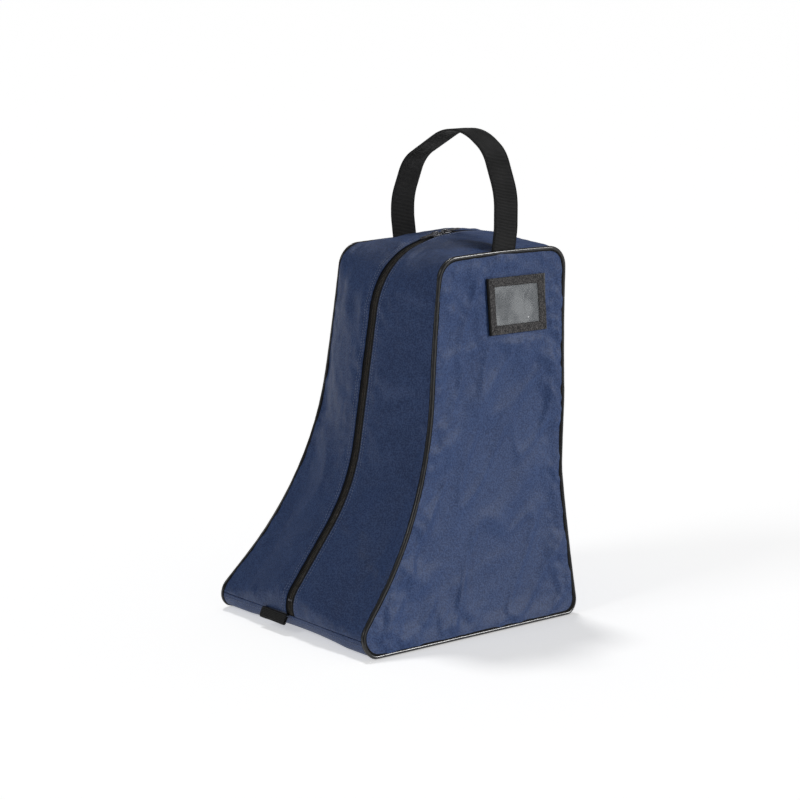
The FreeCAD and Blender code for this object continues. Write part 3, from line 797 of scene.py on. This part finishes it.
for name, side in (("rightPiping", 1), ("leftPiping", -1)):
    cord = roundCord(name, pipingPath(side, pipe["inset"]), pipe["radius"], pipeVinyl, pipe["sides"],
                     cyclic=True)
    for vert in cord.data.vertices:
        vert.co += vert.normal * (noise.noise(vert.co * 170) * pipe["crinkle"])
    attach(cord, "bag")
    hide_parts(name.replace("Piping", "_piping"))
    # a black cord along the seam beside the piping: the piping's sewn flange, and partly painted shade
    # where the piping meets the cloth
    flange = roundCord(name + "Flange", pipingPath(side, pipe["flangeInset"]), pipe["flange"], blackWebbing,
                       3, cyclic=True)
    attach(flange, "bag")
print("piped")


# zip

zipMake = {
    "tapeDepth": .0014, "tapeInner": .0022, "tapeOuter": .0155, "chainDepth": .0017, "pitch": .00145,
    "coilInner": .00035, "coilOuter": .0029, "coilHigh": .0008, "wire": .0003, "turnSteps": 9,
}


def drawnIn(path, depth):  # a path on the form, moved in by a depth in its own plane
    count = len(path)
    moved = []
    for i, spot in enumerate(path):
        run = path[(i + 1) % count] - path[i - 1]
        inward = Vector((0, run.z, -run.y)).normalized()
        moved.append(spot + inward * depth)
    return moved


def zipPart(path, steps, low=bag["baseSeam"], high=bag["backSeam"]):
    return resampled(path, crossing(path, low, True), crossing(path, high, False), steps)


for name, side in (("rightTape", 1), ("leftTape", -1)):
    columns = []
    for k in range(7):
        x = zipMake["tapeInner"] + (zipMake["tapeOuter"] - zipMake["tapeInner"]) * k / 6
        columns.append(zipPart(drawnIn(lineAt(side * x), zipMake["tapeDepth"]), 200))
    tape = faceOut(clothGrid(name, columns, zipTape), insideBag)
    wall = tape.modifiers.new("wall", "SOLIDIFY")
    wall.thickness = .0006
    wall.offset = -1
    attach(tape, "bag")
    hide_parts(name.replace("Tape", "_zip_tape"))

chain = zipPart(drawnIn([Vector((0, c.x, c.y)) for c in centreLoop], zipMake["chainDepth"]), 600)
for name, side, lag in (("rightCoil", 1, 0.0), ("leftCoil", -1, .5)):
    turns = int(pathLength(chain) / zipMake["pitch"])
    spots = evenly(chain, turns * zipMake["turnSteps"])
    path = []
    for i, spot in enumerate(spots[1:-1], start=1):
        run = (spots[i + 1] - spots[i - 1]).normalized()
        outward = Vector((0, -run.z, run.y))
        angle = 2 * math.pi * (i / zipMake["turnSteps"] + lag)
        middle = (zipMake["coilInner"] + zipMake["coilOuter"]) / 2
        reach = (zipMake["coilOuter"] - zipMake["coilInner"]) / 2
        across = side * (middle - reach * math.cos(angle))
        path.append(spot + outX * across + outward * (zipMake["coilHigh"] * math.sin(angle) * .72))
    coil = roundCord(name, path, zipMake["wire"], coilNylon, 1)
    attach(coil, "bag")
    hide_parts(name.replace("Coil", "_zip_coil"))
print("zip made")


# cast metal pieces

def castCopy(name, node, body, width, segments=3, material=darkMetal):
    bm = bmesh.new()
    bm.from_mesh(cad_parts[node].data)
    bmesh.ops.remove_doubles(bm, verts=bm.verts, dist=1e-6)
    bmesh.ops.dissolve_limit(bm, angle_limit=math.radians(2), verts=bm.verts, edges=bm.edges)
    shared = [edge for edge in bm.edges if len(edge.link_faces) == 2]
    sharp = [edge for edge in shared if edge.calc_face_angle() > math.radians(35)]
    bmesh.ops.bevel(bm, geom=sharp, offset=width, offset_type="OFFSET", segments=segments, profile=.5,
                    affect="EDGES",
                    clamp_overlap=True, material=-1)
    piece = showMesh(name, bm, material)
    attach(piece, body)
    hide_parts(node)
    return piece


for name, node in (("frontSlider", "front_slider"), ("rearSlider", "rear_slider"),
                   ("frontPuller", "front_puller"),
                   ("rearPuller", "rear_puller")):
    castCopy(name, node, node, .0003)
castCopy("zipStops", "zip_stops", "bag", .0003)
print("sliders made")


# webbing

webbing = {"width": .0326, "thickness": .0019, "rib": .0016, "ribHeight": .00012, "columns": 14}
handle = {
    "depth": .0719,
    "path": [(-.0833, .398, 0), (-.0875, .425, .06), (-.0875, .447, .06), (-.067, .492, .045),
             (.020, .5375, .066),
             (.0683, .5067, .040), (.0875, .462, .07), (.0875, .425, .06), (.0833, .398, 0)],
    "blend": (.405, .440),
}


# flat webbing whose width lies along one axis
def webStrip(name, path, width, facing, material, ribbed=True):
    steps = round(pathLength(path) / webbing["rib"]) * 2
    spots = evenly(path, steps)
    columns = []
    for k in range(webbing["columns"] + 1):
        share = 2 * k / webbing["columns"] - 1
        column = []
        for i, spot in enumerate(spots):
            run = (spots[min(i + 1, steps)] - spots[max(i - 1, 0)]).normalized()
            off = run.cross(facing).normalized()
            edge = abs(share) > .9
            rise = 0 if edge or not ribbed else webbing["ribHeight"] * (1 if i % 2 else -1)
            sway = .0004 * noise.noise(Vector((spot.x * 14, spot.z * 14, share * 1.4)))
            column.append(spot + facing * (share * width / 2) + off * (rise + sway))
        columns.append(column)
    strip = clothGrid(name, columns, material)
    wall = strip.modifiers.new("wall", "SOLIDIFY")
    wall.thickness = webbing["thickness"]
    wall.offset = 0
    soft = strip.modifiers.new("soft", "BEVEL")
    soft.width = .0005
    soft.segments = 2
    soft.limit_method = "ANGLE"
    soft.angle_limit = math.radians(60)
    return strip


arch = [Vector((spot.x, handle["depth"], spot.y)) for spot in roundedLine(handle["path"], closed=False,
                                                                          arcSteps=24, runSteps=10)]
strap = finished(webStrip("handleStrap", arch, webbing["width"], Vector((0, 1, 0)), blackWebbing))
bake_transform(strap)
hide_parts("handle", "right_handle_end", "left_handle_end")

tab = {"width": .044, "middle": -.024, "root": -.1524, "hinge": -.1549, "length": .0125, "hang": 24,
       "thickness": .0013}
turn = math.radians(tab["hang"])
down = Vector((0, -math.sin(turn), -math.cos(turn)))
out = Vector((0, -math.cos(turn), math.sin(turn)))
root = Vector((tab["middle"], tab["root"], bag["baseSeam"]))
hinge = Vector((tab["middle"], tab["hinge"], bag["baseSeam"]))
fold = [root, hinge + out * .0009 + down * -.0006, hinge + out * .0011 + down * .002,
        hinge + out * .0011 + down * (tab["length"] - .004),
        hinge + down * (tab["length"] - .0022), hinge - out * .0011 + down * (tab["length"] - .004),
        hinge - out * .0011 + down * .0012]
flap = webStrip("toeTab", evenly(fold, 16), tab["width"], outX, blackWebbing)
flap.modifiers["wall"].thickness = tab["thickness"]
finished(flap)
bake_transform(flap)
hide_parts("toe_tab", "toe_tab_root")
print("webbing made")


# card holder

holderTurn = -math.asin((bag["waistHeight"] - holder["height"]) / bag["flareRadius"])
seat = Matrix.Translation((halfWidth(holder["height"]), holder["depth"],
                           holder["height"])) @ Matrix.Rotation(holderTurn, 4, "Y")


def ontoHolder(piece):  # slanted a little, its top towards the toe
    for vert in piece.data.vertices:
        vert.co.y -= holder["shift"] + holder["slant"] * vert.co.z
    piece.data.transform(seat)
    return piece


halfAcross = holder["width"] / 2
halfUp = holder["rise"] / 2
innerAcross = halfAcross - holder["border"]
innerUp = halfUp - holder["border"]
strips = []
for k in range(4):
    level = k % 2 == 0
    longOut, longIn = (halfAcross, innerAcross) if level else (halfUp, innerUp)
    wideOut, wideIn = (halfUp, innerUp) if level else (halfAcross, innerAcross)
    columns = []
    for i in range(61):
        share = 2 * i / 60 - 1
        column = []
        for j in range(13):
            reach = wideOut + (wideIn - wideOut) * j / 12
            along = share * (longOut + (longIn - longOut) * j / 12 - .00012)
            column.append(Vector((0, along, -reach)))
        columns.append(column)
    strip = clothGrid("holderStrip", columns, grosgrain)
    for vert in strip.data.vertices:
        wave = noise.noise(Vector((vert.co.y * 120, vert.co.z * 120, k * 3.1)))
        vert.co.x = holder["lift"] + .0007 + holder["wave"] * wave
    strip.data.transform(Matrix.Rotation(k * math.pi / 2, 4, "X"))
    faceOut(strip, Vector((-1, 0, 0)))
    wall = strip.modifiers.new("wall", "SOLIDIFY")
    wall.thickness = holder["strip"]
    wall.offset = 1
    soft = strip.modifiers.new("soft", "BEVEL")
    soft.width = .0004
    soft.segments = 2
    soft.limit_method = "ANGLE"
    soft.angle_limit = math.radians(60)
    strips.append(finished(strip))
binding = ontoHolder(joined("holderBinding", strips, grosgrain))
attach(binding, "bag")
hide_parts("card_holder_binding")

film = {
    "columns": 60, "rows": 44, "pillow": .0007,
    "creases": [((.018, .020), (.013, .011), .0011, -.0009), ((.013, .011), (.009, .004), .0012, -.0010),
                ((.0085, .004), (.0095, -.010), .0010, -.0009),
                ((.0095, -.010), (.014, -.014), .0011, -.0008),
                ((-.020, .016), (-.015, -.016), .0040, .0012),
                ((-.026, .012), (-.022, -.014), .0024, .0014),
                ((-.024, -.0165), (.020, -.0165), .0022, .0012)],
}
acrossFilm = innerAcross + holder["filmLap"] - .0004
upFilm = innerUp + holder["filmLap"] - .0004
columns = []
for i in range(film["columns"] + 1):
    y = acrossFilm * (2 * i / film["columns"] - 1)
    column = []
    for j in range(film["rows"] + 1):
        z = upFilm * (2 * j / film["rows"] - 1)
        free = max(0.0, 1 - (y / innerAcross) ** 2) * max(0.0, 1 - (z / innerUp) ** 2)
        x = film["pillow"] * free ** .5 + .0005 * free * noise.fractal(Vector((y * 70, z * 70, 4)), .9, 2,
                                                                       3)
        for start, end, width, lift in film["creases"]:
            first = Vector(start)
            run = Vector(end) - first
            share = max(0.0, min(1.0, (Vector((y, z)) - first).dot(run) / run.length_squared))
            x += lift * math.exp(-((first + run * share - Vector((y, z))).length / width) ** 2) * free ** .3
        column.append(Vector((holder["lift"] + .00115 + x, y, z)))
    columns.append(column)
sheet = ontoHolder(faceOut(clothGrid("holderFilm", columns, clearFilm), Vector((-1, 0, 0))))
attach(sheet, "bag")
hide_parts("card_holder_window")

holderRows = []
for gap, height in ((.0014, .0021), (holder["border"] - .0016, .0021)):
    y = halfAcross - gap
    z = halfUp - gap
    corners = [(-y, -z), (y, -z), (y, z), (-y, z)]
    for (y0, z0), (y1, z1) in zip(corners, corners[1:] + corners[:1]):
        path = [Vector((holder["lift"] + height, y0, z0)).lerp(Vector((holder["lift"] + height, y1, z1)),
                                                               k / 20) for k in range(21)]
        holderRows.append(stitchRow("holderRow", path, blackThread, .0018, .00022))
holderStitch = ontoHolder(joined("holderStitch", holderRows, blackThread))
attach(holderStitch, "bag")
# a rolled edge along the holder's toe side, in black: a thicker edge, and partly painted shade where the
# holder stands off the panel
edge = [Vector((holder["lift"] + holder["roll"], -halfAcross + .0004,
                halfUp * (2 * k / 30 - 1))) for k in range(31)]
holderEdge = ontoHolder(roundCord("holderEdge", edge, holder["roll"], blackWebbing, 3))
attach(holderEdge, "bag")
print("card holder made")


# pieces kept as they are, with their own finish

kept = {
    "base_board": boardSheet, "card_holder_back": backingCloth, "right_seam_binding": grosgrain,
    "left_seam_binding": grosgrain,
    "toe_seam_binding": grosgrain, "back_seam_binding": grosgrain,
}
for node, material in kept.items():
    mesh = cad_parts[node].data
    for index in range(len(mesh.materials)):
        mesh.materials[index] = material


# floor, light and camera

room = {
    "floor": (.9, .9, .9), "glow": .48, "ambient": .21, "backdrop": 1.0,
    "suns": {  # strength, softness in degrees, where it shines from
        "topSun": (1.0, 9, (-.65, .2, 1.7)),
        "backSun": (2.5, 10, (1.3, 1.1, .8)),
        "frontSun": (.45, 20, (-.2, -1.6, 1.2)),
    },
}
bm = bmesh.new()
bmesh.ops.create_grid(bm, x_segments=1, y_segments=1, size=150)
floorPaint = newMaterial("floorPaint", room["floor"], .9, Emission_Color=(1, 1, 1, 1),
                         Emission_Strength=room["glow"])
floor = showMesh("floor", bm, floorPaint)
floor.data.transform(Matrix.Translation((0, 0, -.0006)))

world = bpy.data.worlds.new("room")
scene.world = world
world.use_nodes = True
sky = world.node_tree.nodes["Background"]
sky.inputs["Color"].default_value = (1, 1, 1, 1)
seen = world.node_tree.nodes.new("ShaderNodeLightPath")
# the backdrop is white to look at, and dimmer as a light
mixed = world.node_tree.nodes.new("ShaderNodeMapRange")
mixed.inputs["To Min"].default_value = room["ambient"]
mixed.inputs["To Max"].default_value = room["backdrop"]
world.node_tree.links.new(mixed.inputs["Value"], seen.outputs["Is Camera Ray"])
world.node_tree.links.new(sky.inputs["Strength"], mixed.outputs["Result"])

for name, (strength, softness, place) in room["suns"].items():
    lamp = bpy.data.lights.new(name, "SUN")
    lamp.energy = strength
    lamp.angle = math.radians(softness)
    light = bpy.data.objects.new(name, lamp)
    light.rotation_euler = (-Vector(place)).to_track_quat("-Z", "Y").to_euler()
    scene.collection.objects.link(light)
    if name == "backSun":  # grazes the cloth only
        unlit = bpy.data.collections.new("unlit")
        unlit.objects.link(floor)
        light.light_linking.receiver_collection = unlit
        unlit.collection_objects[0].light_linking.link_state = "EXCLUDE"

lens = bpy.data.cameras.new("camera")
lens.lens = 103.5
lens.sensor_width = 36
camera = bpy.data.objects.new("camera", lens)
camera.location = (1.919, -1.544, .6945)
camera.rotation_euler = (math.radians(90 - 10.55), 0, math.radians(51.22))
scene.collection.objects.link(camera)
scene.camera = camera
scene.view_settings.view_transform = "Standard"
